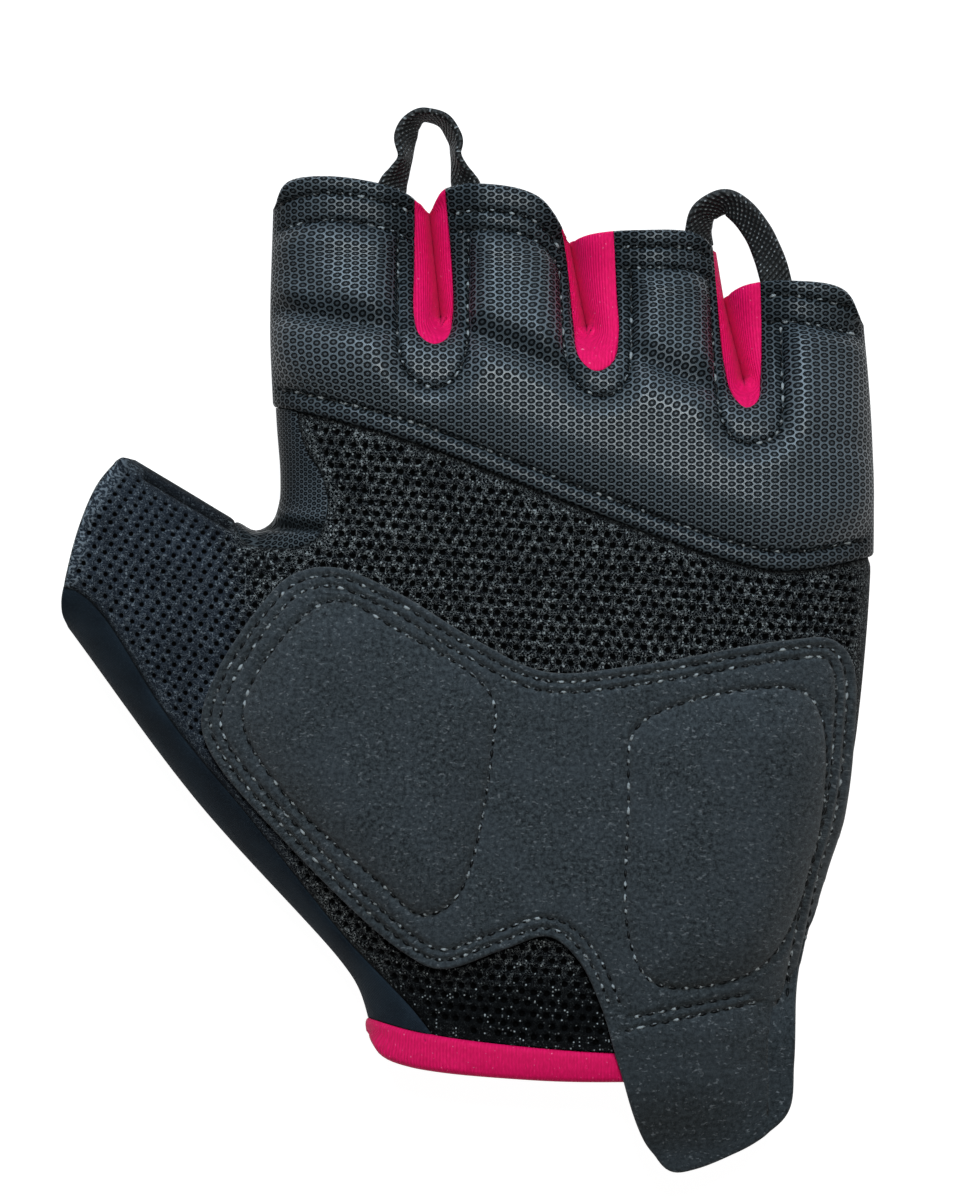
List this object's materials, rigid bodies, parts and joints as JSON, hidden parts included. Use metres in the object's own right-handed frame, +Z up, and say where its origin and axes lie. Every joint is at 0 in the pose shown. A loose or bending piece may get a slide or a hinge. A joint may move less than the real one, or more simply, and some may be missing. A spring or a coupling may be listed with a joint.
{
  "type": "fingerless cycling glove",
  "caption": "Fingerless cycling glove for the left hand with a padded palm, a pull tab at the cuff and pull loops between the fingers.",
  "frame": {"origin": "on the surface the glove's back lies on, under the middle of its box", "axes": "+X from the thumb to the little finger, +Y from the wrist to the fingertips, +Z up out of the palm"},
  "size_m": [0.1256, 0.1656, 0.0301],
  "materials": {
    "embossed_leather": "dark slate synthetic leather embossed with small hexagons, satin",
    "air_mesh": "black air mesh with small holes",
    "stretch_fabric": "navy-black smooth stretch fabric",
    "microfibre_suede": "charcoal microfibre suede",
    "crimson_lycra": "crimson-pink ribbed stretch fabric",
    "twill_webbing": "black twill webbing"
  },
  "bodies": {
    "root": {"finger_panel": "embossed_leather", "crotch_patch": "embossed_leather", "palm_mesh": "air_mesh", "back_panel": "stretch_fabric", "heel_patch": "microfibre_suede", "cuff_binding": "crimson_lycra", "gusset_index_middle": "crimson_lycra", "gusset_middle_ring": "crimson_lycra", "gusset_ring_little": "crimson_lycra", "pull_loop_index_middle": "twill_webbing", "pull_loop_ring_little": "twill_webbing"}
  },
  "joints": []
}
